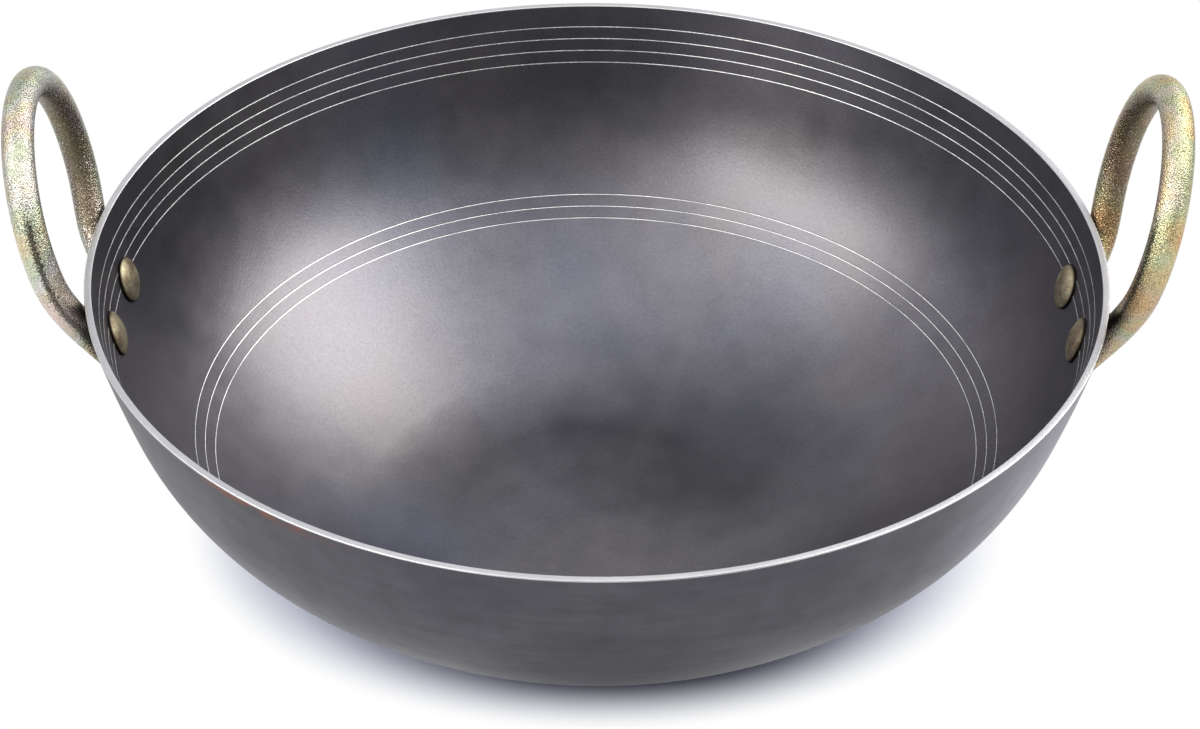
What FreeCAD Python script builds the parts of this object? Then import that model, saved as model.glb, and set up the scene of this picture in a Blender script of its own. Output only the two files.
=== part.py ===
# Kadai: a deep pan pressed from one iron sheet, with two bar handles held by two rivets each.
# Millimetres, +Z up. The origin is the centre of the flat base, and the handles lie along X.
import FreeCAD, Part
import math
import os

# Bowl
rim_diameter = 260.0
base_diameter = 76.0
sheet = 1.8
wall_height = 23.0
bend_radius = 69.0
knuckle_radius = 63.0
rim_ease = 0.35

# Slopes of the bowl's wall from vertical, in degrees, from the rim down to the flat base
rim_slope = 13.6
bend_slope = 17.9
dome_slope = 43.5
knuckle_slope = 68.0
base_slope = 90.0

# Turned lines inside the bowl: one set on the wall, one just below where the dome begins
line_width = 0.4
line_depth = 0.15
line_pitch = 3.5
wall_line_drop = 6.0
wall_line_count = 4
dome_line_inset = 0.8
dome_line_count = 3

# Handles, each one bar bent to a loop with its two ends flattened to round lugs
bar_diameter = 8.0
loop_width = 57.8
loop_side = 1.3
loop_rise = 15.4
loop_standoff = 6.4
loop_lean = 11.3
lug_diameter = 17.0
lug_thickness = 4.2
lug_round = 1.2
neck_width_share = 0.9
neck_section_count = 6

# Rivets
rivet_drop = 17.3
rivet_pitch = 24.2
shank_diameter = 5.0
shank_clearance = 0.1
head_diameter = 12.0
head_height = 2.5
head_edge = 0.7
tail_diameter = 8.5
tail_height = 1.8
tail_edge = 0.4

# Cuts run past the faces that they open by this much
overrun = 2.0

up = FreeCAD.Vector(0, 0, 1)
across = FreeCAD.Vector(0, 1, 0)
axis_bottom = FreeCAD.Vector(0, 0, 0)


def sine(degrees):
    return math.sin(math.radians(degrees))


def cosine(degrees):
    return math.cos(math.radians(degrees))


def smooth(share):
    """Rises from 0 to 1 with no slope at either end."""
    return share * share * (3 - 2 * share)


def line(start, end):
    return Part.LineSegment(start, end).toShape()


def revolved(edges):
    face = Part.Face(Part.Wire(Part.__sortEdges__(edges)))
    return face.revolve(axis_bottom, up, 360)


def placed(shape, placement):
    moved = shape.copy()
    moved.Placement = placement
    return moved


def half_turned(shape):
    turned = shape.copy()
    turned.rotate(axis_bottom, up, 180)
    return turned


# Bowl profile: four tangent arcs, each held as centre radius, centre height, radius and end slopes

def profile_arcs():
    wall_radius = wall_height / (sine(bend_slope) - sine(rim_slope))
    outer_radius = wall_radius + sheet
    outer_rim_slope = math.degrees(math.asin(wall_radius * sine(rim_slope) / outer_radius))
    wall_r = rim_diameter / 2 - outer_radius * cosine(outer_rim_slope)
    bend_r = wall_r + (wall_radius - bend_radius) * cosine(bend_slope)
    knuckle_reach = base_diameter / 2 + knuckle_radius * cosine(knuckle_slope)
    dome_reach = bend_r + bend_radius * cosine(dome_slope) - knuckle_reach
    dome_radius = dome_reach / (cosine(dome_slope) - cosine(knuckle_slope))
    dome_r = bend_r + (bend_radius - dome_radius) * cosine(dome_slope)

    knuckle_z = sheet + knuckle_radius
    dome_z = knuckle_z + (dome_radius - knuckle_radius) * sine(knuckle_slope)
    bend_z = dome_z + (bend_radius - dome_radius) * sine(dome_slope)
    wall_z = bend_z + (wall_radius - bend_radius) * sine(bend_slope)
    return (
        (wall_r, wall_z, wall_radius, rim_slope, bend_slope),
        (bend_r, bend_z, bend_radius, bend_slope, dome_slope),
        (dome_r, dome_z, dome_radius, dome_slope, knuckle_slope),
        (base_diameter / 2, knuckle_z, knuckle_radius, knuckle_slope, base_slope),
    )


wall_arc, bend_arc, dome_arc, knuckle_arc = profile_arcs()
rim_z = wall_arc[1] - wall_arc[2] * sine(rim_slope)


def face_point(arc, slope, depth):
    """A point on an arc of the profile at this slope, this deep into the sheet from its inside."""
    centre_r, centre_z, radius = arc[:3]
    reach = radius + depth
    return FreeCAD.Vector(centre_r + reach * cosine(slope), 0, centre_z - reach * sine(slope))


def wall_slope(drop, depth):
    """Slope of the wall this far below the rim, this deep into the sheet."""
    return math.degrees(math.asin((wall_arc[1] - rim_z + drop) / (wall_arc[2] + depth)))


def arc_edge(arc, start, end, depth):
    slopes = (start, (start + end) / 2, end)
    return Part.Arc(*[face_point(arc, slope, depth) for slope in slopes]).toShape()


def notched_edges(arc, start, end, notches):
    """An inside arc with a V cut across it for each turned line."""
    half_turn = math.degrees(line_width / 2 / arc[2])
    edges = []
    for notch in notches:
        before = face_point(arc, notch - half_turn, 0)
        bottom = face_point(arc, notch, line_depth)
        after = face_point(arc, notch + half_turn, 0)
        edges += [arc_edge(arc, start, notch - half_turn, 0), line(before, bottom), line(bottom, after)]
        start = notch + half_turn
    return edges + [arc_edge(arc, start, end, 0)]


def line_slopes(arc, first, count):
    return [first + math.degrees(i * line_pitch / arc[2]) for i in range(count)]


def inside_edges(notched):
    top = wall_slope(rim_ease, 0)
    wall_lines = line_slopes(wall_arc, wall_slope(wall_line_drop, 0), wall_line_count)
    first_dome_line = dome_slope + math.degrees(dome_line_inset / dome_arc[2])
    dome_lines = line_slopes(dome_arc, first_dome_line, dome_line_count)
    edges = notched_edges(wall_arc, top, bend_slope, wall_lines if notched else [])
    edges.append(arc_edge(bend_arc, bend_slope, dome_slope, 0))
    edges += notched_edges(dome_arc, dome_slope, knuckle_slope, dome_lines if notched else [])
    edges.append(arc_edge(knuckle_arc, knuckle_slope, base_slope, 0))
    return edges


def outside_edges(drop):
    edges = [arc_edge(wall_arc, wall_slope(drop, sheet), bend_slope, sheet)]
    for arc in (bend_arc, dome_arc, knuckle_arc):
        edges.append(arc_edge(arc, arc[3], arc[4], sheet))
    return edges


def sheet_bowl(notched):
    """The pressed sheet with its ground and eased rim, with or without the turned lines."""
    inner_top = face_point(wall_arc, wall_slope(rim_ease, 0), 0)
    outer_top = face_point(wall_arc, wall_slope(rim_ease, sheet), sheet)
    flat_inner = FreeCAD.Vector(inner_top.x + rim_ease, 0, rim_z)
    flat_outer = FreeCAD.Vector(outer_top.x - rim_ease, 0, rim_z)
    base_edge = FreeCAD.Vector(base_diameter / 2, 0, 0)
    axis_top = FreeCAD.Vector(0, 0, sheet)
    return revolved(inside_edges(notched) + outside_edges(rim_ease) + [
        line(inner_top, flat_inner),
        line(flat_inner, flat_outer),
        line(flat_outer, outer_top),
        line(base_edge + axis_top, axis_top),
        line(axis_top, axis_bottom),
        line(axis_bottom, base_edge),
    ])


def outer_envelope():
    """Everything within the bowl's outer face, carried up past the handles."""
    rim_edge = face_point(wall_arc, wall_slope(0, sheet), sheet)
    axis_top = FreeCAD.Vector(0, 0, rim_z + loop_rise + loop_width)
    above_rim = FreeCAD.Vector(rim_edge.x, 0, axis_top.z)
    base_edge = FreeCAD.Vector(base_diameter / 2, 0, 0)
    return revolved(outside_edges(0) + [
        line(rim_edge, above_rim),
        line(above_rim, axis_top),
        line(axis_top, axis_bottom),
        line(axis_bottom, base_edge),
    ])


# Rivets stand square to the wall. Side is -1 for the rivet at the front and 1 for the one behind

tail_seat = sheet + lug_thickness


def rivet_frame(side):
    """Placement of a rivet: its origin on the inside of the wall, its Z axis out through the wall."""
    slope = wall_slope(rivet_drop, 0)
    point = face_point(wall_arc, slope, 0)
    turn = math.degrees(math.asin(side * rivet_pitch / 2 / point.x))
    swing = FreeCAD.Rotation(up, turn)
    lie = FreeCAD.Rotation(across, 90 + slope)
    return FreeCAD.Placement(swing.multVec(point), swing.multiply(lie))


def rivet_hole(side):
    radius = shank_diameter / 2 + shank_clearance
    hole = Part.makeCylinder(radius, tail_seat + 2 * overrun, up * -overrun)
    return placed(hole, rivet_frame(side))


def dome_cap(diameter, height, edge):
    """A low dome on an upright edge, standing on the plane Z = 0."""
    radius = diameter / 2
    crown = height - edge
    sphere_radius = (radius * radius + crown * crown) / (2 * crown)
    sphere = Part.makeSphere(sphere_radius, up * (height - sphere_radius))
    return sphere.common(Part.makeCylinder(radius, height))


def rivet(side, wall):
    head = dome_cap(head_diameter, head_height, head_edge).mirror(axis_bottom, up)
    head = placed(head, rivet_frame(side)).cut(wall)
    tail = dome_cap(tail_diameter, tail_height, tail_edge)
    tail.translate(up * tail_seat)
    shank = Part.makeCylinder(shank_diameter / 2, tail_seat + head_height / 2, up * (-head_height / 2))
    return head.fuse(placed(shank.fuse(tail), rivet_frame(side))).removeSplitter()


# Handle: the loop stands in a plane that leans out with the wall. Its lower arcs run straight into
# the lugs, and on the way the round bar flattens, widens and closes in on the wall

loop_up = FreeCAD.Vector(sine(loop_lean), 0, cosine(loop_lean))
loop_out = FreeCAD.Vector(cosine(loop_lean), 0, -sine(loop_lean))
loop_centre = FreeCAD.Vector(rim_diameter / 2 + loop_standoff, 0, rim_z + loop_rise)
loop_radius = loop_width / 2


def loop_point(y, height):
    return loop_centre + across * y + loop_up * height


def lug_middle(side):
    return rivet_frame(side).multVec(up * (sheet + lug_thickness / 2))


def neck_start(side):
    """Where the straight neck leaves the loop's lower arc: y, height and angle in the loop's plane."""
    lug = lug_middle(side) - loop_centre
    lug_y = lug.dot(across)
    lug_height = lug.dot(loop_up)
    lug_angle = math.atan2(lug_height, abs(lug_y))
    angle = lug_angle + math.acos(loop_radius / math.hypot(lug_y, lug_height))
    return side * loop_radius * math.cos(angle), loop_radius * math.sin(angle), angle


def loop_bar():
    y, height, angle = neck_start(1)
    edges = [Part.Arc(loop_point(-loop_radius, loop_side), loop_point(0, loop_side + loop_radius),
                      loop_point(loop_radius, loop_side)).toShape()]
    for side in (-1, 1):
        middle_y = side * loop_radius * math.cos(angle / 2)
        middle_height = loop_radius * math.sin(angle / 2)
        edges.append(line(loop_point(side * loop_radius, loop_side), loop_point(side * loop_radius, 0)))
        edges.append(Part.Arc(loop_point(side * loop_radius, 0), loop_point(middle_y, middle_height),
                              loop_point(side * y, height)).toShape())
    path = Part.Wire(Part.__sortEdges__(edges))
    start = path.OrderedEdges[0]
    tangent = start.tangentAt(start.FirstParameter)
    section = Part.Circle(path.OrderedVertexes[0].Point, tangent, bar_diameter / 2).toShape()
    return path.makePipeShell([Part.Wire(section)], True, False)


def neck_section(side, share):
    """One section of the neck, round at the loop (share 0) and flat at the lug (share 1)."""
    y, height, _ = neck_start(side)
    start = loop_point(y, height)
    lug = lug_middle(side)
    inward = (lug - start).dot(loop_out)
    straight = lug - start - loop_out * inward
    along = FreeCAD.Vector(straight).normalize()
    blend = smooth(share * share)
    middle = start + straight * share + loop_out * (inward * blend)
    wall_out = rivet_frame(side).Rotation.multVec(up)
    thick = loop_out * (1 - blend) + wall_out * blend
    thick = (thick - along * thick.dot(along)).normalize()
    wide = along.cross(thick)
    thick = thick * (bar_diameter + (lug_thickness - bar_diameter) * blend)
    wide = wide * (bar_diameter + (lug_diameter * neck_width_share - bar_diameter) * blend)
    stretch = FreeCAD.Matrix(
        thick.x / 2, wide.x / 2, along.x, middle.x,
        thick.y / 2, wide.y / 2, along.y, middle.y,
        thick.z / 2, wide.z / 2, along.z, middle.z,
        0, 0, 0, 1,
    )
    unit_circle = Part.Circle(axis_bottom, up, 1).toShape()
    return Part.Wire(unit_circle.transformGeometry(stretch))


def neck(side):
    last = neck_section_count - 1
    sections = [neck_section(side, i / last) for i in range(neck_section_count)]
    return Part.makeLoft(sections, True, False)


def lug(side):
    radius = lug_diameter / 2
    disc = Part.makeCylinder(radius, lug_thickness + overrun, up * (sheet - overrun))
    outer_edge = [edge for edge in disc.Edges if edge.BoundBox.ZMin > sheet]
    disc = disc.makeFillet(lug_round, outer_edge)
    return placed(disc, rivet_frame(side))


def tail_room(side):
    """Flat seat for a rivet's tail, cut into the neck where it stands proud of the lug."""
    room = Part.makeCylinder(tail_diameter / 2 + shank_clearance, bar_diameter, up * tail_seat)
    return placed(room, rivet_frame(side))


def handle():
    bar = loop_bar()
    for side in (-1, 1):
        bar = bar.fuse([neck(side), lug(side)])
    bar = bar.cut(outer_envelope())
    for side in (-1, 1):
        bar = bar.cut([rivet_hole(side), tail_room(side)])
    return bar


def build():
    holes = [rivet_hole(side) for side in (-1, 1)]
    holes += [half_turned(hole) for hole in holes]
    wall = sheet_bowl(False)
    right_handle = handle()
    front_rivet = rivet(-1, wall)
    rear_rivet = rivet(1, wall)
    return {
        "bowl": sheet_bowl(True).cut(holes),
        "right_handle": right_handle,
        "left_handle": half_turned(right_handle),
        "right_front_rivet": front_rivet,
        "right_rear_rivet": rear_rivet,
        "left_front_rivet": half_turned(rear_rivet),
        "left_rear_rivet": half_turned(front_rivet),
    }


os.makedirs("parts", exist_ok=True)
for name, shape in build().items():
    shape.exportStep("parts/" + name + ".step")
    print(name, len(shape.Solids), shape.isValid(), round(shape.Volume), shape.BoundBox)
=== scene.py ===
import bmesh
import bpy
import math
from mathutils import Matrix, Vector


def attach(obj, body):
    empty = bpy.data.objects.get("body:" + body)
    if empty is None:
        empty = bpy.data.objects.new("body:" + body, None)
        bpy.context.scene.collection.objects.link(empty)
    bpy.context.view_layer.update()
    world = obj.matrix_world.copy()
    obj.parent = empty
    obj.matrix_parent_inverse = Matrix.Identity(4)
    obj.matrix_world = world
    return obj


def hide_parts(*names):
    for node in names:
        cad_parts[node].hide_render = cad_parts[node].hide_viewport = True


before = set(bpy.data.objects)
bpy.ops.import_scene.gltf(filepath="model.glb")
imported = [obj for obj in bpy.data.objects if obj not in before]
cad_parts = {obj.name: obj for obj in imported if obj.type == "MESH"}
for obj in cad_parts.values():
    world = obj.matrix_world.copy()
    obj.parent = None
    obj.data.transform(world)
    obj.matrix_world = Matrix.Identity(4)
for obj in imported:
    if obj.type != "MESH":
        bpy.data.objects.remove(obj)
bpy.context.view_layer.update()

# Bowl: one disc of sheet iron, pressed deep and turned true on a lathe. Its rim is ground flat and bright,
# the tool left two sets of bright lines inside, and oil and heat have darkened the rest to a satin grey.
rim_radius = 0.130
base_radius = 0.038
sheet = 0.0018
wall_height = 0.023
bend_radius = 0.069
knuckle_radius = 0.063
rim_round = 0.0003
rim_slope, bend_slope, dome_slope, knuckle_slope, base_slope = 13.6, 17.9, 43.5, 68.0, 90.0
line_pitch = 0.0035
line_flank = 0.00013
wall_line_width, wall_line_depth = 0.00037, 0.00005
wall_line_drop, wall_line_count = 0.006, 4
dome_line_width, dome_line_depth = 0.00031, 0.00002
dome_line_inset, dome_line_count = 0.0008, 3
rim_steps, wall_steps, bend_steps, dome_steps, knuckle_steps = 5, 6, 14, 14, 12
lined_wall_steps, lined_dome_steps = 2, 5
ring_steps = 240
weld = 0.000005
crisp_angle = 50


def sine(degrees):
    return math.sin(math.radians(degrees))


def cosine(degrees):
    return math.cos(math.radians(degrees))


def slope_way(slope):
    """Straight out from an arc's centre to the wall at this slope from vertical."""
    return Vector((cosine(slope), 0, -sine(slope)))


wall_radius = wall_height / (sine(bend_slope) - sine(rim_slope))
outer_rim_slope = math.degrees(math.asin(wall_radius * sine(rim_slope) / (wall_radius + sheet)))
wall_reach = rim_radius - (wall_radius + sheet) * cosine(outer_rim_slope)
bend_reach = wall_reach + (wall_radius - bend_radius) * cosine(bend_slope)
knuckle_reach = base_radius + knuckle_radius * cosine(knuckle_slope)
dome_run = bend_reach + bend_radius * cosine(dome_slope) - knuckle_reach
dome_radius = dome_run / (cosine(dome_slope) - cosine(knuckle_slope))
knuckle_centre = Vector((base_radius, 0, sheet + knuckle_radius))
dome_centre = knuckle_centre + slope_way(knuckle_slope) * (knuckle_radius - dome_radius)
bend_centre = dome_centre + slope_way(dome_slope) * (dome_radius - bend_radius)
wall_centre = bend_centre + slope_way(bend_slope) * (bend_radius - wall_radius)
rim_z = (wall_centre + slope_way(rim_slope) * wall_radius).z

INSIDE, OUTSIDE, RIM, LINE, SOOT_AND_SHADE = range(5)
bowl = bmesh.new()
stretches = {finish: [] for finish in (INSIDE, OUTSIDE, RIM, LINE, SOOT_AND_SHADE)}


def draw_arc(centre, radius, start, end, steps, finish):
    """Draws an arc of the bowl's profile, from one slope to another, by spinning a vertex."""
    before = set(bowl.edges)
    first = bowl.verts.new(centre + slope_way(start) * radius)
    bmesh.ops.spin(bowl, geom=[first], cent=centre, axis=(0, 1, 0),
                   angle=math.radians(end - start), steps=steps)
    stretches[finish] += set(bowl.edges) - before


def draw_line(start, end, finish):
    stretches[finish].append(bowl.edges.new((bowl.verts.new(start), bowl.verts.new(end))))


def draw_lined_arc(centre, radius, start, end, lines, width, depth, steps):
    """Draws an inside arc crossed by turned lines, each a shallow V with a steep upper flank."""
    half_line = math.degrees(width / 2 / radius)
    flank = math.degrees(line_flank / radius)
    for line in lines:
        draw_arc(centre, radius, start, line - half_line, steps, INSIDE)
        bottom = centre + slope_way(line - half_line + flank) * (radius + depth)
        # The steep flank is finished dark: soot with painted shade.
        draw_line(centre + slope_way(line - half_line) * radius, bottom, SOOT_AND_SHADE)
        draw_line(bottom, centre + slope_way(line + half_line) * radius, LINE)
        start = line + half_line
    draw_arc(centre, radius, start, end, steps, INSIDE)


def wall_slope(drop, radius):
    """Slope, on this radius from the centre of the wall's arc, of a place this far below the rim."""
    return math.degrees(math.asin((wall_centre.z - rim_z + drop) / radius))


def round_centre(radius):
    """Centre of a rim rounding, on this radius from the centre of the wall's arc."""
    drop = wall_centre.z - rim_z + rim_round
    return Vector((wall_centre.x + math.sqrt(radius ** 2 - drop ** 2), 0, rim_z - rim_round))


def line_slopes(first, count, radius):
    return [first + math.degrees(i * line_pitch / radius) for i in range(count)]


inner_round_radius = wall_radius + rim_round
outer_round_radius = wall_radius + sheet - rim_round
inner_round = round_centre(inner_round_radius)
outer_round = round_centre(outer_round_radius)
inner_top = wall_slope(rim_round, inner_round_radius)
outer_top = wall_slope(rim_round, outer_round_radius)
rim_lift = Vector((0, 0, rim_round))
draw_arc(inner_round, rim_round, inner_top - 180, -90, rim_steps, RIM)
draw_line(inner_round + rim_lift, outer_round + rim_lift, RIM)
draw_arc(outer_round, rim_round, -90, outer_top, rim_steps, RIM)

wall_lines = line_slopes(wall_slope(wall_line_drop, wall_radius), wall_line_count, wall_radius)
first_dome_line = dome_slope + math.degrees(dome_line_inset / dome_radius)
dome_lines = line_slopes(first_dome_line, dome_line_count, dome_radius)
draw_lined_arc(wall_centre, wall_radius, inner_top, bend_slope,
               wall_lines, wall_line_width, wall_line_depth, lined_wall_steps)
draw_arc(bend_centre, bend_radius, bend_slope, dome_slope, bend_steps, INSIDE)
draw_lined_arc(dome_centre, dome_radius, dome_slope, knuckle_slope,
               dome_lines, dome_line_width, dome_line_depth, lined_dome_steps)
draw_arc(knuckle_centre, knuckle_radius, knuckle_slope, base_slope, knuckle_steps, INSIDE)
draw_line(Vector((base_radius, 0, sheet)), Vector((0, 0, sheet)), INSIDE)

draw_arc(wall_centre, wall_radius + sheet, outer_top, bend_slope, wall_steps, OUTSIDE)
draw_arc(bend_centre, bend_radius + sheet, bend_slope, dome_slope, bend_steps, OUTSIDE)
draw_arc(dome_centre, dome_radius + sheet, dome_slope, knuckle_slope, dome_steps, OUTSIDE)
draw_arc(knuckle_centre, knuckle_radius + sheet, knuckle_slope, base_slope, knuckle_steps, OUTSIDE)
draw_line(Vector((base_radius, 0, 0)), Vector((0, 0, 0)), OUTSIDE)

for finish, edges in stretches.items():
    before = set(bowl.faces)
    corners = {vert for edge in edges for vert in edge.verts}
    bmesh.ops.spin(bowl, geom=list(corners) + edges, cent=(0, 0, 0), axis=(0, 0, 1),
                   angle=math.tau, steps=ring_steps, use_merge=True)
    for face in set(bowl.faces) - before:
        face.material_index = finish
bmesh.ops.remove_doubles(bowl, verts=bowl.verts, dist=weld)
bmesh.ops.recalc_face_normals(bowl, faces=bowl.faces)


def finished_piece(name, shape, materials):
    """Makes a shape one smooth-shaded object. Sharp edges and those between two finishes stay crisp."""
    for face in shape.faces:
        face.smooth = True
    for edge in shape.edges:
        finishes = {face.material_index for face in edge.link_faces}
        edge.smooth = len(finishes) == 1 and edge.calc_face_angle(0) < math.radians(crisp_angle)
    mesh = bpy.data.meshes.new(name)
    shape.to_mesh(mesh)
    shape.free()
    for material in materials:
        mesh.materials.append(material)
    piece = bpy.data.objects.new(name, mesh)
    bpy.context.scene.collection.objects.link(piece)
    return piece


def ranged(tree, value, low, high, to_low, to_high):
    """A value carried from one range to another, and held within it."""
    node = tree.nodes.new("ShaderNodeMapRange")
    tree.links.new(value, node.inputs["Value"])
    for name, number in (("From Min", low), ("From Max", high), ("To Min", to_low), ("To Max", to_high)):
        node.inputs[name].default_value = number
    return node.outputs["Result"]


def from_noise(tree, noise, to_low, to_high):
    """A noise, which lies mostly between these two values, carried to another range."""
    noise_low, noise_high = 0.3, 0.7
    return ranged(tree, noise, noise_low, noise_high, to_low, to_high)


def combined(tree, operation, first, second):
    node = tree.nodes.new("ShaderNodeMath")
    node.operation = operation
    tree.links.new(first, node.inputs[0])
    tree.links.new(second, node.inputs[1])
    return node.outputs["Value"]


def ramp(tree, value, stops):
    """A colour ramp over a value, from (place, colour) stops."""
    node = tree.nodes.new("ShaderNodeValToRGB")
    tree.links.new(value, node.inputs["Fac"])
    while len(node.color_ramp.elements) < len(stops):
        node.color_ramp.elements.new(0.5)
    for element, (place, colour) in zip(node.color_ramp.elements, stops):
        element.position = place
        element.color = (*colour, 1)
    return node.outputs["Color"]


def multiplied(tree, colour, factor):
    node = tree.nodes.new("ShaderNodeMix")
    node.data_type = "RGBA"
    node.blend_type = "MULTIPLY"
    node.inputs["Factor"].default_value = 1
    tree.links.new(colour, node.inputs["A"])
    tree.links.new(factor, node.inputs["B"])
    return node.outputs["Result"]


def mixed(tree, share, colour, over):
    """One colour over another, by a share from 0 to 1."""
    node = tree.nodes.new("ShaderNodeMix")
    node.data_type = "RGBA"
    tree.links.new(share, node.inputs["Factor"])
    tree.links.new(colour, node.inputs["A"])
    node.inputs["B"].default_value = (*over, 1)
    return node.outputs["Result"]


def bumped(tree, height, strength, distance):
    node = tree.nodes.new("ShaderNodeBump")
    node.inputs["Strength"].default_value = strength
    node.inputs["Distance"].default_value = distance
    tree.links.new(height, node.inputs["Height"])
    return node.outputs["Normal"]


def object_axis(tree, axis):
    """One of the piece's own coordinates, in metres."""
    place = tree.nodes.new("ShaderNodeTexCoord")
    axes = tree.nodes.new("ShaderNodeSeparateXYZ")
    tree.links.new(place.outputs["Object"], axes.inputs["Vector"])
    return axes.outputs[axis]


def new_group(name, inputs, outputs):
    """An empty shader node group with named number sockets, and its input and output nodes."""
    group = bpy.data.node_groups.new(name, "ShaderNodeTree")
    for socket in inputs:
        group.interface.new_socket(socket, in_out="INPUT", socket_type="NodeSocketFloat")
    for socket in outputs:
        group.interface.new_socket(socket, in_out="OUTPUT", socket_type="NodeSocketFloat")
    return group, group.nodes.new("NodeGroupInput"), group.nodes.new("NodeGroupOutput")


def mottle_group():
    """Soft patches, fine grain and long level streaks, each a value from 0 to 1."""
    group, given, result = new_group("mottle", ("Patch Scale", "Grain Scale", "Streak Scale"),
                                     ("Patches", "Grain", "Streaks"))
    place = group.nodes.new("ShaderNodeTexCoord")
    level = group.nodes.new("ShaderNodeMapping")
    level.inputs["Scale"].default_value = (0.07, 0.07, 1)
    group.links.new(place.outputs["Object"], level.inputs["Vector"])
    everywhere, lengthwise = place.outputs["Object"], level.outputs["Vector"]
    for name, scale, detail, source in (("Patches", "Patch Scale", 3, everywhere),
                                        ("Grain", "Grain Scale", 2, everywhere),
                                        ("Streaks", "Streak Scale", 3, lengthwise)):
        noise = group.nodes.new("ShaderNodeTexNoise")
        noise.inputs["Detail"].default_value = detail
        group.links.new(source, noise.inputs["Vector"])
        group.links.new(given.outputs[scale], noise.inputs["Scale"])
        group.links.new(noise.outputs["Fac"], result.inputs[name])
    return group


def zone_group():
    """One value close to a point of the piece and another far from it. Drift makes the border uneven."""
    group, given, result = new_group("zone", ("Near", "Far", "Inside", "Outside", "Drift"), ("Value",))
    group.interface.new_socket("Centre", in_out="INPUT", socket_type="NodeSocketVector")
    place = group.nodes.new("ShaderNodeTexCoord")
    away = group.nodes.new("ShaderNodeVectorMath")
    away.operation = "DISTANCE"
    group.links.new(place.outputs["Object"], away.inputs[0])
    group.links.new(given.outputs["Centre"], away.inputs[1])
    spread = group.nodes.new("ShaderNodeMapRange")
    reach = combined(group, "ADD", away.outputs["Value"], given.outputs["Drift"])
    group.links.new(reach, spread.inputs["Value"])
    for name, socket in (("Near", "From Min"), ("Far", "From Max"),
                         ("Inside", "To Min"), ("Outside", "To Max")):
        group.links.new(given.outputs[name], spread.inputs[socket])
    group.links.new(spread.outputs["Result"], result.inputs["Value"])
    return group


mottle = mottle_group()
zone = zone_group()


def add_mottle(tree, patches, grain=0, streaks=0):
    """Places the mottle. A scale of 0 stands for an output that isn't used."""
    node = tree.nodes.new("ShaderNodeGroup")
    node.node_tree = mottle
    for name, scale in (("Patch Scale", patches), ("Grain Scale", grain), ("Streak Scale", streaks)):
        node.inputs[name].default_value = scale
    return node


def add_zone(tree, centre, near, far, inside, outside, drift=None):
    node = tree.nodes.new("ShaderNodeGroup")
    node.node_tree = zone
    node.inputs["Centre"].default_value = centre
    for name, number in (("Near", near), ("Far", far), ("Inside", inside), ("Outside", outside)):
        node.inputs[name].default_value = number
    if drift:
        tree.links.new(drift, node.inputs["Drift"])
    return node.outputs["Value"]


def toned(tree, colour, places, drift=None):
    """A colour made darker or lighter in some places: centre, where the tone is full, where it ends, tone."""
    for centre, near, far, tone in places:
        colour = multiplied(tree, colour, add_zone(tree, centre, near, far, tone, 1, drift))
    return colour


def new_material(name):
    material = bpy.data.materials.new(name)
    material.use_nodes = True
    return material, material.node_tree, material.node_tree.nodes["Principled BSDF"]


def new_metal(name):
    material, tree, shader = new_material(name)
    shader.inputs["Metallic"].default_value = 1
    return material, tree, shader


def turned_iron():
    """The inside: grey from oil and heat, with blue patches, mostly at the back, and a dark bottom that is a
    seasoning stain with a painted dark reflection.
    """
    cool_grey, grey, warm_grey = (0.125, 0.123, 0.145), (0.129, 0.126, 0.146), (0.134, 0.129, 0.144)
    heat_blue, blue_share = (0.114, 0.120, 0.163), 0.85
    blue_places = (((-0.010, 0.090, 0.020), 0.060), ((-0.060, 0.100, 0.052), 0.045),
                   ((0.038, 0.068, 0.014), 0.048), ((-0.052, -0.014, 0.003), 0.027))
    # Painted light: the first two places darken the bottom, a stain with a painted dark reflection. The third
    # is painted shade in front, the fourth a painted highlight at the back right, and the last two painted
    # shade on the back and left walls.
    painted_light_places = (((0.034, 0.034, 0), 0.012, 0.050, 0.66), ((0.012, 0.060, 0.006), 0, 0.032, 0.82),
                    ((0.022, -0.014, 0), 0.010, 0.036, 0.84), ((0.050, 0.112, 0.066), 0, 0.036, 1.6),
                    ((-0.006, 0.120, 0.060), 0.010, 0.055, 0.80), ((-0.113, 0.030, 0.060), 0, 0.036, 0.80))
    material, tree, shader = new_metal("turned_iron")
    marks = add_mottle(tree, patches=15, grain=1400)
    fine = add_mottle(tree, patches=110, grain=1700)
    tint = ramp(tree, marks.outputs["Patches"], [(0.36, cool_grey), (0.5, grey), (0.66, warm_grey)])
    drift = from_noise(tree, marks.outputs["Patches"], -0.02, 0.02)
    for centre, radius in blue_places:
        tint = mixed(tree, add_zone(tree, centre, 0, radius, blue_share, 0, drift), tint, heat_blue)
    tint = multiplied(tree, tint, from_noise(tree, marks.outputs["Grain"], 0.92, 1.08))
    tint = multiplied(tree, tint, from_noise(tree, fine.outputs["Patches"], 0.93, 1.07))
    tint = toned(tree, tint, painted_light_places, drift)
    tree.links.new(tint, shader.inputs["Base Color"])
    tree.links.new(from_noise(tree, fine.outputs["Patches"], 0.38, 0.42), shader.inputs["Roughness"])
    tree.links.new(bumped(tree, fine.outputs["Grain"], 0.16, 0.0002), shader.inputs["Normal"])
    return material


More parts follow.
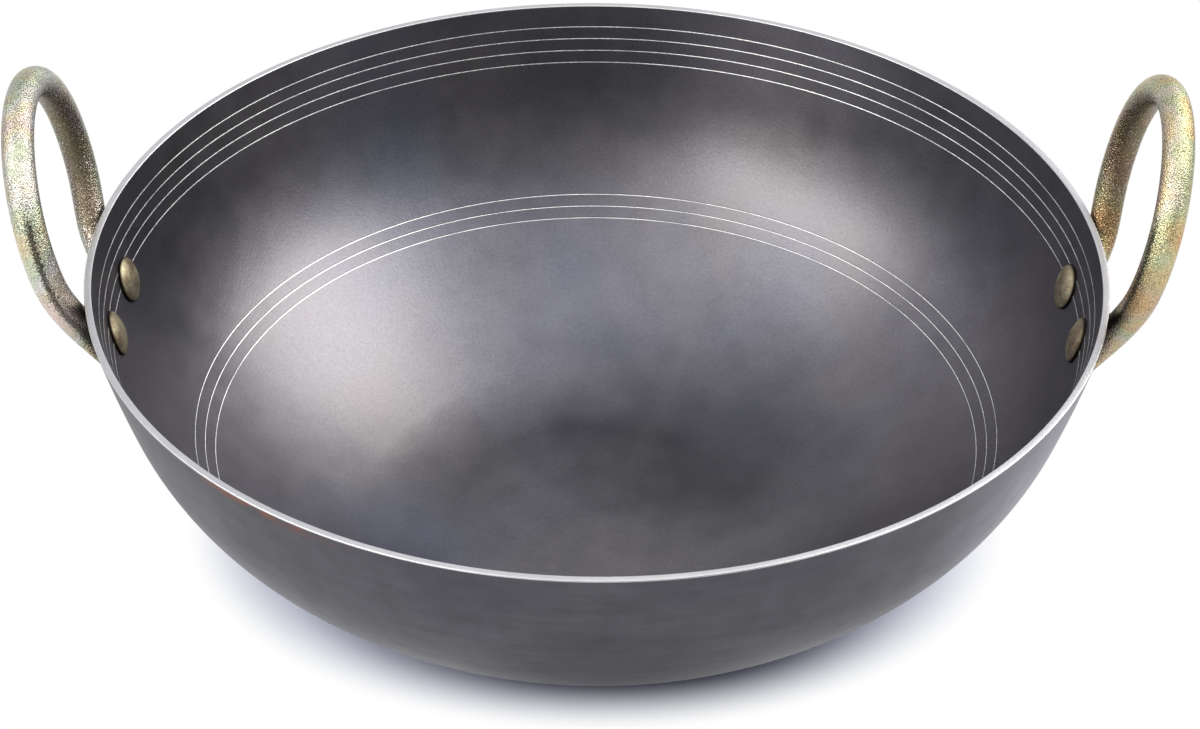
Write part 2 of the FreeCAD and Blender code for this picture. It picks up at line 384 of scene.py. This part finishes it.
def outer_iron():
    """The outside: duller, with level brush marks, painted shade at the front centre, a painted highlight on
    the right, a matt foot darkened with painted shade, and rust.
    """
    dark_grey, grey, pale_grey = (0.095, 0.094, 0.113), (0.110, 0.108, 0.128), (0.124, 0.121, 0.140)
    # Painted light: shade on the front centre, and a highlight on the right where the metal catches the
    # light.
    painted_shade_and_highlight = (((0.010, -0.118, 0.060), 0.015, 0.090, 0.76),
                       ((0.112, -0.066, 0.062), 0.005, 0.050, 2.7))
    # The foot and a patch at the front bottom are darkened with painted shade, the dark reflection of the
    # shadowed floor, and made matt.
    foot_low, foot_high = 0.006, 0.034
    foot_shade_place, foot_shade_near, foot_shade_far, foot_shade_tone = (0.006, -0.106, 0.036), 0.006, 0.044, 0.65
    rust, rust_low, rust_high = (0.25, 0.088, 0.040), rim_z - 0.0035, rim_z - 0.001
    rust_place, rust_near, rust_far = (-0.077, -0.105, rim_z), 0.008, 0.030
    material, tree, shader = new_metal("outer_iron")
    marks = add_mottle(tree, patches=26, streaks=1300)
    fine = add_mottle(tree, patches=140, grain=1700, streaks=420)
    height = object_axis(tree, "Z")
    tint = ramp(tree, marks.outputs["Patches"], [(0.34, dark_grey), (0.5, grey), (0.66, pale_grey)])
    tint = multiplied(tree, tint, from_noise(tree, marks.outputs["Streaks"], 0.92, 1.08))
    tint = multiplied(tree, tint, from_noise(tree, fine.outputs["Streaks"], 0.94, 1.06))
    tint = multiplied(tree, tint, from_noise(tree, fine.outputs["Patches"], 0.90, 1.10))
    tint = toned(tree, tint, painted_shade_and_highlight)
    above_foot = ranged(tree, height, foot_low, foot_high, 0, 1)
    off_foot_shade = add_zone(tree, foot_shade_place, foot_shade_near, foot_shade_far, 0, 1)
    unshaded_glossy = combined(tree, "MINIMUM", above_foot, off_foot_shade)
    tint = multiplied(tree, tint, ranged(tree, unshaded_glossy, 0, 1, foot_shade_tone, 1))
    under_rim = ranged(tree, height, rust_low, rust_high, 0, 1)
    near_rust = add_zone(tree, rust_place, rust_near, rust_far, 1, 0)
    rusty_stretch = combined(tree, "MULTIPLY", under_rim, near_rust)
    rusty_patches = ranged(tree, fine.outputs["Patches"], 0.42, 0.55, 0, 0.9)
    tint = mixed(tree, combined(tree, "MULTIPLY", rusty_stretch, rusty_patches), tint, rust)
    tree.links.new(tint, shader.inputs["Base Color"])
    tree.links.new(ranged(tree, unshaded_glossy, 0, 1, 0.4, 1), shader.inputs["Metallic"])
    brushed = from_noise(tree, marks.outputs["Streaks"], 0.42, 0.50)
    matt_foot_roughness = ranged(tree, unshaded_glossy, 0, 1, 0.75, 0.42)
    tree.links.new(combined(tree, "MAXIMUM", brushed, matt_foot_roughness), shader.inputs["Roughness"])
    tree.links.new(bumped(tree, fine.outputs["Grain"], 0.12, 0.0002), shader.inputs["Normal"])
    return material


def ground_rim():
    """The rim: ground to bare silver metal, with fine marks of the stone."""
    dull_silver, silver, warm_silver = (0.50, 0.505, 0.545), (0.55, 0.555, 0.595), (0.50, 0.485, 0.495)
    material, tree, shader = new_metal("ground_rim")
    marks = add_mottle(tree, patches=40, grain=1500)
    tint = ramp(tree, marks.outputs["Patches"], [(0.35, dull_silver), (0.6, silver), (0.75, warm_silver)])
    tree.links.new(tint, shader.inputs["Base Color"])
    tree.links.new(from_noise(tree, marks.outputs["Grain"], 0.36, 0.5), shader.inputs["Roughness"])
    return material


def cut_line():
    """The turned lines: bright where the tool bit, dim where it skipped."""
    skipped, bitten, bright = (0.50, 0.51, 0.54), (0.69, 0.705, 0.75), (0.77, 0.78, 0.81)
    material, tree, shader = new_metal("cut_line")
    marks = add_mottle(tree, patches=60, grain=1200)
    tint = ramp(tree, marks.outputs["Patches"], [(0.34, skipped), (0.46, bitten), (0.62, bright)])
    tint = multiplied(tree, tint, ranged(tree, marks.outputs["Grain"], 0.35, 0.6, 0.78, 1.05))
    tree.links.new(tint, shader.inputs["Base Color"])
    tree.links.new(from_noise(tree, marks.outputs["Grain"], 0.42, 0.54), shader.inputs["Roughness"])
    return material


def sooty_shaded_flank():
    """The steep upper flank of each line: soot and old oil, darkened further with painted shade in the
    groove.
    """
    soot_and_shade, old_oil = (0.016, 0.015, 0.015), (0.045, 0.044, 0.045)
    material, tree, shader = new_metal("sooty_shaded_flank")
    marks = add_mottle(tree, patches=60, grain=1200)
    tint = ramp(tree, marks.outputs["Patches"], [(0.35, soot_and_shade), (0.65, old_oil)])
    tree.links.new(tint, shader.inputs["Base Color"])
    tree.links.new(from_noise(tree, marks.outputs["Grain"], 0.45, 0.6), shader.inputs["Roughness"])
    return material


bowl_finishes = [turned_iron(), outer_iron(), ground_rim(), cut_line(), sooty_shaded_flank()]
bowl_piece = finished_piece("kadai_bowl", bowl, bowl_finishes)
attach(bowl_piece, "root")
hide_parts("bowl")

# Handles: each is one length of round iron bar bent to a loop, with its two ends hammered flat to round lugs
# that lie against the outside of the wall. The bar is rough and carries a thin yellow iridescent zinc coat.
bar_radius = 0.004
loop_radius = 0.0289
loop_side = 0.0013
loop_rise = 0.0154
loop_standoff = 0.0064
loop_lean = 11.3
lug_radius = 0.0085
lug_thickness = 0.0042
lug_crown_share = 1.3
lug_end_share = 0.97
seat_radius = 0.0049
rivet_drop = 0.0173
rivet_pitch = 0.0242
# Where the painted dark reflection streak winds round the lower bar.
reflection_streak_turn, reflection_streak_twist, reflection_streak_half_width = 41, 24, 23
reflection_streak_top, reflection_streak_fade = 0.018, 0.008
bar_segments = 40
crown_steps, shoulder_steps, neck_steps, lug_steps = 28, 10, 12, 8


def rivet_place(side):
    """Where a rivet on the right sits: origin on the inside of the wall, Z axis out through the wall."""
    slope = wall_slope(rivet_drop, wall_radius)
    point = wall_centre + slope_way(slope) * wall_radius
    turn = math.asin(side * rivet_pitch / 2 / point.x)
    lie = Matrix.Rotation(math.radians(90 + slope), 4, "Y")
    return Matrix.Rotation(turn, 4, "Z") @ Matrix.Translation(point) @ lie


loop_place = (Matrix.Translation((rim_radius + loop_standoff, 0, rim_z + loop_rise))
              @ Matrix.Rotation(math.radians(loop_lean), 4, "Y"))
lug_place = loop_place.inverted() @ rivet_place(1)
lug_middle = lug_place @ Vector((0, 0, sheet + lug_thickness / 2))
lug_out = lug_place.to_3x3() @ Vector((0, 0, 1))
neck_angle = (math.atan2(lug_middle.z, lug_middle.y)
              + math.acos(loop_radius / math.hypot(lug_middle.y, lug_middle.z)))
neck_start = Vector((0, math.cos(neck_angle), math.sin(neck_angle))) * loop_radius
neck_run = Vector((0, lug_middle.y, lug_middle.z)) - neck_start
neck_way = neck_run.normalized()
lug_way = (neck_way - lug_out * neck_way.dot(lug_out)).normalized()


def held(share):
    return min(max(share, 0), 1)


def smooth(share):
    return share * share * (3 - 2 * share)


def section_place(middle, out, thick, wide):
    """Matrix that carries a unit circle to a section of the bar."""
    out = (out - neck_way * out.dot(neck_way)).normalized()
    across = neck_way.cross(out)
    turn = Matrix((out * thick, across * wide, neck_way)).transposed()
    return Matrix.Translation(middle) @ turn.to_4x4()


def neck_section(share):
    """Round where the neck leaves the loop (share 0), flat and wide at the lug (share 1)."""
    flat = smooth(share * share)
    out = Vector((1, 0, 0)).lerp(lug_out, flat)
    middle = neck_start + neck_run * share + Vector((lug_middle.x * flat, 0, 0))
    thick = bar_radius + (lug_thickness / 2 * lug_crown_share - bar_radius) * flat
    wide = bar_radius + (lug_radius - bar_radius) * flat
    return section_place(middle, out, thick, wide)


def lug_section(share):
    """From the middle of the lug (share 0) to its round end (share 1)."""
    angle = share * math.pi / 2
    middle = lug_middle + lug_way * lug_radius * math.sin(angle)
    end_thick = lug_thickness / 2 * lug_crown_share * math.cos(angle * share ** 3)
    return section_place(middle, lug_out, end_thick, lug_radius * math.cos(angle))


def edges_among(parts):
    return [part for part in parts if isinstance(part, bmesh.types.BMEdge)]


def drawn_on(bar, rim, move):
    """Draws the bar's open end on to where a matrix puts it, and returns the new end's edges."""
    grown = bmesh.ops.extrude_edge_only(bar, edges=rim)["geom"]
    ends = [part for part in grown if isinstance(part, bmesh.types.BMVert)]
    bmesh.ops.transform(bar, matrix=move, verts=ends)
    return [edge for edge in edges_among(grown) if all(vert in ends for vert in edge.verts)]


def bent(bar, rim, centre, angle, steps):
    """Bends the bar's open end round a centre, and returns the new end's edges."""
    corners = list({vert for edge in rim for vert in edge.verts})
    last = bmesh.ops.spin(bar, geom=corners + list(rim), cent=centre, axis=(1, 0, 0),
                          angle=angle, steps=steps)
    return edges_among(last["geom_last"])


def half_bar():
    """One half of a handle, from the top of the loop to the end of its lug."""
    bar = bmesh.new()
    crown = Matrix.Translation((0, 0, loop_side + loop_radius)) @ Matrix.Rotation(math.pi / 2, 4, "X")
    bmesh.ops.create_circle(bar, segments=bar_segments, radius=bar_radius, matrix=crown)
    rim = bent(bar, list(bar.edges), (0, 0, loop_side), -math.pi / 2, crown_steps)
    rim = drawn_on(bar, rim, Matrix.Translation((0, 0, -loop_side)))
    rim = bent(bar, rim, (0, 0, 0), neck_angle, shoulder_steps)
    before = neck_section(0)
    stations = [neck_section((i + 1) / neck_steps) for i in range(neck_steps)]
    stations += [lug_section((i + 1) / lug_steps * lug_end_share) for i in range(lug_steps)]
    for after in stations:
        rim = drawn_on(bar, rim, after @ before.inverted())
        before = after
    bmesh.ops.edgeloop_fill(bar, edges=rim)
    return bar


def wall_distance(point):
    """How far a point lies outside the centre of the wall's arc, and the way out to it."""
    around = Vector((point.x, point.y, 0)).normalized()
    centre = around * wall_centre.x + Vector((0, 0, wall_centre.z))
    return (point - centre).length, (point - centre).normalized()


def seat_lugs(bar):
    """Hammers each lug flat round its rivet, and beds its inner side on the outside of the wall."""
    for side in (-1, 1):
        place = rivet_place(side)
        for vert in bar.verts:
            local = place.inverted() @ vert.co
            beyond = (math.hypot(local.x, local.y) - seat_radius) / (lug_radius - seat_radius)
            over = local.z - sheet - lug_thickness
            if over > 0:
                local.z -= over * (1 - smooth(held(beyond)))
                vert.co = place @ local
    for vert in bar.verts:
        far, way = wall_distance(vert.co)
        if far < wall_radius + sheet:
            vert.co += way * (wall_radius + sheet - far)


def mark_bar(bar):
    """Marks the inner side of the loop (1, and -1 on its outer side), and a painted dark reflection: a streak
    that winds round the lower half of the bar, on the side towards the pan."""
    inner = bar.verts.layers.float.new("inner")
    reflection_streak = bar.verts.layers.float.new("reflection_streak")
    for vert in bar.verts:
        height = vert.co.z - min(max(vert.co.z, 0), loop_side)
        outward = math.hypot(vert.co.y, height) - loop_radius
        vert[inner] = -outward / bar_radius
        turn = math.degrees(math.atan2(-vert.co.x, outward))
        off_reflection_streak = abs(turn - reflection_streak_turn + reflection_streak_twist * vert.co.y / loop_radius)
        low = held((reflection_streak_top - vert.co.z) / reflection_streak_fade)
        vert[reflection_streak] = max(1 - off_reflection_streak / reflection_streak_half_width, 0) * smooth(low)


def loop_handle():
    bar = half_bar()
    bmesh.ops.mirror(bar, geom=bar.verts[:] + bar.edges[:] + bar.faces[:], axis="Y", merge_dist=weld)
    bmesh.ops.remove_doubles(bar, verts=bar.verts, dist=weld)
    mark_bar(bar)
    bmesh.ops.transform(bar, matrix=loop_place, verts=bar.verts)
    seat_lugs(bar)
    bmesh.ops.recalc_face_normals(bar, faces=bar.faces)
    return bar


def faded(tree, factor, share):
    """A shading factor drawn back towards 1 where the share is small."""
    node = tree.nodes.new("ShaderNodeMix")
    tree.links.new(share, node.inputs["Factor"])
    node.inputs["A"].default_value = 1
    tree.links.new(factor, node.inputs["B"])
    return node.outputs["Result"]


def saturated(tree, colour, amount):
    node = tree.nodes.new("ShaderNodeHueSaturation")
    tree.links.new(colour, node.inputs["Color"])
    tree.links.new(amount, node.inputs["Saturation"])
    return node.outputs["Color"]


def mark_on(tree, name):
    """A mark that the mesh carries on its points."""
    node = tree.nodes.new("ShaderNodeAttribute")
    node.attribute_name = name
    return node.outputs["Fac"]


def zinc_coat():
    """Yellow zinc: drifts of pink, gold, green and pale blue, and painted brown shade on the inner side of
    the loop.
    The right handle is yellower, and the left one has lost more of its colour."""
    copper, gold, leaf = (0.56, 0.33, 0.17), (0.60, 0.51, 0.30), (0.47, 0.54, 0.38)
    silver, straw = (0.59, 0.56, 0.53), (0.60, 0.53, 0.35)
    rose, pale_blue = (0.60, 0.46, 0.44), (0.48, 0.55, 0.53)
    plain, yellowed = (1, 1, 1), (1, 0.94, 0.81)
    brown, reflection_streak_dark = (0.122, 0.082, 0.046), (0.045, 0.038, 0.03)
    stain_share = 0.75
    stains = (((0.1350, -0.0290, 0.094), 0.014, (0.62, 0.38, 0.17)),
              ((-0.1340, -0.0280, 0.086), 0.010, (0.68, 0.46, 0.42)))
    # Painted light: highlights on the middle of the near limbs and shade at their tops.
    painted_light_places = (((-0.137, -0.028, 0.102), 0.006, 0.028, 1.55),
                    ((0.138, -0.028, 0.110), 0.004, 0.022, 1.38),
                    ((-0.1415, -0.015, 0.127), 0.004, 0.020, 0.82),
                    ((0.1415, -0.015, 0.127), 0.004, 0.020, 0.84))
    material, tree, shader = new_metal("yellow_zinc_coat")
    marks = add_mottle(tree, patches=44, grain=2700)
    fine = add_mottle(tree, patches=110, grain=3200)
    grain = marks.outputs["Grain"]
    tint = ramp(tree, marks.outputs["Patches"], [(0.30, copper), (0.38, gold), (0.44, leaf), (0.50, silver),
                                                 (0.56, straw), (0.62, rose), (0.70, pale_blue)])
    for centre, radius, colour in stains:
        tint = mixed(tree, add_zone(tree, centre, 0, radius, stain_share, 0), tint, colour)
    grit = ranged(tree, grain, 0.38, 0.56, 0.30, 1.10)
    gritty = ranged(tree, fine.outputs["Patches"], 0.40, 0.60, 0.3, 0.9)
    tint = multiplied(tree, tint, faded(tree, grit, gritty))
    tint = multiplied(tree, tint, from_noise(tree, fine.outputs["Grain"], 0.76, 1.16))
    to_right = ranged(tree, object_axis(tree, "X"), -rim_radius, rim_radius, 0, 1)
    tint = multiplied(tree, tint, ramp(tree, to_right, [(0, plain), (1, yellowed)]))
    tint = saturated(tree, tint, ranged(tree, to_right, 0, 1, 0.78, 0.95))
    tint = toned(tree, tint, painted_light_places)
    # Painted reflection: a dark streak down the lower bar.
    on_reflection_streak = combined(tree, "ADD", mark_on(tree, "reflection_streak"), from_noise(tree, grain, 0.4, -0.4))
    tint = mixed(tree, ranged(tree, on_reflection_streak, 0.25, 0.7, 0, 0.9), tint, reflection_streak_dark)
    # Painted shade: the inner side of the loop is darkened to brown.
    on_inside = combined(tree, "ADD", mark_on(tree, "inner"), from_noise(tree, grain, 0.8, -0.8))
    tint = mixed(tree, ranged(tree, on_inside, 0.1, 0.6, 0, 0.85), tint, brown)
    tree.links.new(tint, shader.inputs["Base Color"])
    tree.links.new(from_noise(tree, grain, 0.33, 0.22), shader.inputs["Roughness"])
    tree.links.new(bumped(tree, grain, 0.85, 0.00035), shader.inputs["Normal"])
    return material


coat = zinc_coat()
for name, turn in (("right_handle", 0), ("left_handle", math.pi)):
    bar = loop_handle()
    bmesh.ops.rotate(bar, cent=(0, 0, 0), matrix=Matrix.Rotation(turn, 3, "Z"), verts=bar.verts)
    handle_piece = finished_piece("kadai_" + name, bar, [coat])
    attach(handle_piece, "root")
    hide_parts(name)

# Rivets: four soft iron rivets with the same coat gone dull. Each has a low domed head inside the bowl and a
# shank through wall and lug, and its tail is hammered to a smaller dome on the lug.
head_radius, head_height, head_edge = 0.006, 0.0025, 0.0007
tail_radius, tail_height, tail_edge = 0.00425, 0.0018, 0.0004
edge_round = 0.0004
shank_radius = 0.0025
tail_seat = sheet + lug_thickness
crown_dome_steps, edge_round_steps, rivet_steps = 12, 4, 48


def dome(rivet, radius, height, edge, base, away):
    """Profile of a low dome on an upright edge. It stands on the plane Z = base and bulges to +Z (away 1)
    or -Z (away -1)."""
    crown = height - edge
    ball = (radius * radius + crown * crown) / (2 * crown)
    centre = Vector((0, 0, base + away * (height - ball)))
    turn = math.asin((radius - edge_round) / (ball - edge_round))
    corner = centre + Vector((math.sin(turn), 0, away * math.cos(turn))) * (ball - edge_round)
    before = set(rivet.edges)
    pole = rivet.verts.new(centre + Vector((0, 0, away * ball)))
    spun = bmesh.ops.spin(rivet, geom=[pole], cent=centre, axis=(0, 1, 0), angle=away * turn,
                          steps=crown_dome_steps)
    spun = bmesh.ops.spin(rivet, geom=spun["geom_last"], cent=corner, axis=(0, 1, 0),
                          angle=away * (math.pi / 2 - turn), steps=edge_round_steps)
    foot = rivet.verts.new((radius, 0, base))
    rivet.edges.new((spun["geom_last"][0], foot))
    rivet.edges.new((foot, rivet.verts.new((shank_radius, 0, base))))
    return list(set(rivet.edges) - before)


def mark_edges(rivet):
    """Marks the upright edges of head and tail, which get painted shade under the domes."""
    edge_shade = rivet.verts.layers.float.new("edge_shade")
    for vert in rivet.verts:
        on_head = vert.co.z < tail_seat / 2
        above = -vert.co.z - head_edge if on_head else vert.co.z - tail_seat - tail_edge
        vert[edge_shade] = 1 - held(above / edge_round)


def rivet_shape():
    rivet = bmesh.new()
    edges = dome(rivet, head_radius, head_height, head_edge, 0, -1)
    edges += dome(rivet, tail_radius, tail_height, tail_edge, tail_seat, 1)
    top = rivet.verts.new((shank_radius, 0, tail_seat))
    bottom = rivet.verts.new((shank_radius, 0, 0))
    edges.append(rivet.edges.new((top, bottom)))
    bmesh.ops.spin(rivet, geom=rivet.verts[:] + edges, cent=(0, 0, 0), axis=(0, 0, 1),
                   angle=math.tau, steps=rivet_steps, use_merge=True)
    bmesh.ops.remove_doubles(rivet, verts=rivet.verts, dist=weld)
    bmesh.ops.recalc_face_normals(rivet, faces=rivet.faces)
    mark_edges(rivet)
    return rivet


def bed_head(rivet):
    """Beds the head's rim on the inside of the wall, which curves up to meet it."""
    for vert in rivet.verts:
        far, way = wall_distance(vert.co)
        on_head = far < wall_radius + sheet / 2
        if on_head and far > wall_radius:
            vert.co -= way * (far - wall_radius)


def dull_coat():
    """The same coat, hammered and handled to a dull olive brown."""
    brown, olive, pale_olive = (0.21, 0.16, 0.115), (0.33, 0.285, 0.20), (0.43, 0.40, 0.285)
    edge_shade = (0.018, 0.014, 0.011)
    material, tree, shader = new_metal("dull_zinc_coat")
    marks = add_mottle(tree, patches=260, grain=2300)
    tint = ramp(tree, marks.outputs["Patches"], [(0.34, brown), (0.5, olive), (0.64, pale_olive)])
    tint = multiplied(tree, tint, ranged(tree, marks.outputs["Grain"], 0.35, 0.65, 0.7, 1.08))
    # Painted shade on the upright edges of head and tail.
    tint = mixed(tree, mark_on(tree, "edge_shade"), tint, edge_shade)
    tree.links.new(tint, shader.inputs["Base Color"])
    tree.links.new(from_noise(tree, marks.outputs["Grain"], 0.42, 0.56), shader.inputs["Roughness"])
    tree.links.new(bumped(tree, marks.outputs["Patches"], 0.25, 0.0004), shader.inputs["Normal"])
    return material


rivet_coat = dull_coat()
for name, side, turn in (("right_front_rivet", -1, 0), ("right_rear_rivet", 1, 0),
                         ("left_front_rivet", 1, math.pi), ("left_rear_rivet", -1, math.pi)):
    rivet = rivet_shape()
    bmesh.ops.transform(rivet, matrix=rivet_place(side), verts=rivet.verts)
    bed_head(rivet)
    bmesh.ops.rotate(rivet, cent=(0, 0, 0), matrix=Matrix.Rotation(turn, 3, "Z"), verts=rivet.verts)
    rivet_piece = finished_piece("kadai_" + name, rivet, [rivet_coat])
    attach(rivet_piece, "root")
    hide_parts(name)

# Floor: a flat sheet of white paper under the pan. Close to the pan it takes the pan's shadow, whose edge is
# painted with a grey-blue glow, and farther out it is pure white to the eye and in reflections.
floor_half = 3.0
floor_drop = 0.0002
floor_shape = bmesh.new()
bmesh.ops.create_grid(floor_shape, x_segments=1, y_segments=1, size=floor_half,
                      matrix=Matrix.Translation((0, 0, -floor_drop)))


def white_paper():
    paper = (0.66, 0.70, 0.94)
    painted_shadow_grey, painted_shadow_edge, white = (0.86, 0.89, 0.97), (0.965, 0.973, 0.99), (1, 1, 1)
    shadow_oval = (0.77, 1, 1)
    shadow_radius, white_radius = 0.0665, 0.086
    material, tree, shader = new_material("white_paper")
    shader.inputs["Base Color"].default_value = (*paper, 1)
    shader.inputs["Roughness"].default_value = 0.9
    shader.inputs["Specular IOR Level"].default_value = 0.1
    place = tree.nodes.new("ShaderNodeTexCoord")
    oval = tree.nodes.new("ShaderNodeMapping")
    oval.inputs["Scale"].default_value = shadow_oval
    tree.links.new(place.outputs["Object"], oval.inputs["Vector"])
    reach = tree.nodes.new("ShaderNodeVectorMath")
    reach.operation = "LENGTH"
    tree.links.new(oval.outputs["Vector"], reach.inputs[0])
    far = ranged(tree, reach.outputs["Value"], shadow_radius, white_radius, 0, 1)
    far.node.interpolation_type = "SMOOTHSTEP"
    glow = tree.nodes.new("ShaderNodeEmission")
    # Painted shadow: the glow is grey-blue at the shadow's edge and white farther out.
    tree.links.new(ramp(tree, far, [(0, painted_shadow_grey), (0.8, painted_shadow_edge), (1, white)]), glow.inputs["Color"])
    path = tree.nodes.new("ShaderNodeLightPath")
    seen = combined(tree, "MAXIMUM", path.outputs["Is Camera Ray"], path.outputs["Is Glossy Ray"])
    seen = combined(tree, "MAXIMUM", seen, path.outputs["Is Transmission Ray"])
    blend = tree.nodes.new("ShaderNodeMixShader")
    tree.links.new(combined(tree, "MULTIPLY", far, seen), blend.inputs["Fac"])
    tree.links.new(shader.outputs["BSDF"], blend.inputs[1])
    tree.links.new(glow.outputs["Emission"], blend.inputs[2])
    tree.links.new(blend.outputs["Shader"], tree.nodes["Material Output"].inputs["Surface"])
    return material


floor = finished_piece("paper_floor", floor_shape, [white_paper()])

# Room: white all round to the eye. The metal mirrors it dimmer towards the camera's side and near the floor,
# and it adds only a little light of its own.
dim_azimuth, dim_elevation = 15, 10
dim_core, dim_edge, dim_strength = 28, 60, 0.3
floor_strength, full_height = 0.5, 0.4
own_light = 0.1


def way_to(azimuth, elevation):
    """The way to a place round the pan. Azimuth 0 is the camera's side and 90 the right."""
    return Vector((sine(azimuth) * cosine(elevation), -cosine(azimuth) * cosine(elevation), sine(elevation)))


world = bpy.data.worlds.new("studio")
bpy.context.scene.world = world
world.use_nodes = True
tree = world.node_tree
sky = tree.nodes["Background"]
sky.inputs["Color"].default_value = (1, 1, 1, 1)
path = tree.nodes.new("ShaderNodeLightPath")
way = tree.nodes.new("ShaderNodeTexCoord")
towards = tree.nodes.new("ShaderNodeVectorMath")
towards.operation = "DOT_PRODUCT"
towards.inputs[1].default_value = way_to(dim_azimuth, dim_elevation)
tree.links.new(way.outputs["Generated"], towards.inputs[0])
axes = tree.nodes.new("ShaderNodeSeparateXYZ")
tree.links.new(way.outputs["Generated"], axes.inputs["Vector"])
room = ranged(tree, towards.outputs["Value"], cosine(dim_edge), cosine(dim_core), 1, dim_strength)
room = combined(tree, "MULTIPLY", room, ranged(tree, axes.outputs["Z"], 0, full_height, floor_strength, 1))
mirrored = combined(tree, "MULTIPLY", path.outputs["Is Glossy Ray"], room)
seen = combined(tree, "MAXIMUM", path.outputs["Is Camera Ray"], path.outputs["Is Transmission Ray"])
seen = combined(tree, "MAXIMUM", seen, mirrored)
tree.links.new(ranged(tree, seen, 0, 1, own_light, 1), sky.inputs["Strength"])

# Lamps: a large soft lamp on the right and a little behind, one of about the same strength on the left in
# front, and a weak one overhead. All three are slightly warm.
lamp_colour = (1, 0.958, 0.85)


def soft_lamp(name, azimuth, elevation, distance, width, height, watts):
    """A soft lamp aimed at the pan."""
    data = bpy.data.lights.new(name, "AREA")
    data.shape = "RECTANGLE"
    data.size = width
    data.size_y = height
    data.energy = watts
    data.color = lamp_colour
    lamp = bpy.data.objects.new(name, data)
    way = way_to(azimuth, elevation)
    lamp.location = way * distance
    lamp.rotation_euler = way.to_track_quat("Z", "Y").to_euler()
    bpy.context.scene.collection.objects.link(lamp)


soft_lamp("right_lamp", azimuth=110, elevation=45, distance=1.4, width=1.1, height=0.8, watts=20.5)
soft_lamp("left_lamp", azimuth=-62, elevation=44, distance=1.5, width=1.4, height=0.7, watts=18)
soft_lamp("top_lamp", azimuth=0, elevation=80, distance=1.5, width=1.0, height=1.0, watts=3.5)

# Camera: a long lens in front of the pan that looks down into it. Its place, its small pan, tilt and roll and
# its lens are fitted to the photograph.
photo_lens, film_width = 94.5, 36
camera_elevation = 33.95
camera_distance = 0.8045
pan, tilt, roll = -0.062, -2.005, 0.43
camera_data = bpy.data.cameras.new("camera")
camera_data.lens = photo_lens
camera_data.sensor_width = film_width
camera = bpy.data.objects.new("camera", camera_data)
aim = (Matrix.Rotation(math.radians(90 - camera_elevation), 4, "X")
       @ Matrix.Rotation(math.radians(pan), 4, "Y")
       @ Matrix.Rotation(math.radians(tilt), 4, "X")
       @ Matrix.Rotation(math.radians(roll), 4, "Z"))
stand = Vector((0, 0, rim_z)) + way_to(0, camera_elevation) * camera_distance
camera.matrix_world = Matrix.Translation(stand) @ aim
bpy.context.scene.collection.objects.link(camera)
bpy.context.scene.camera = camera
bpy.context.scene.view_settings.view_transform = "Standard"
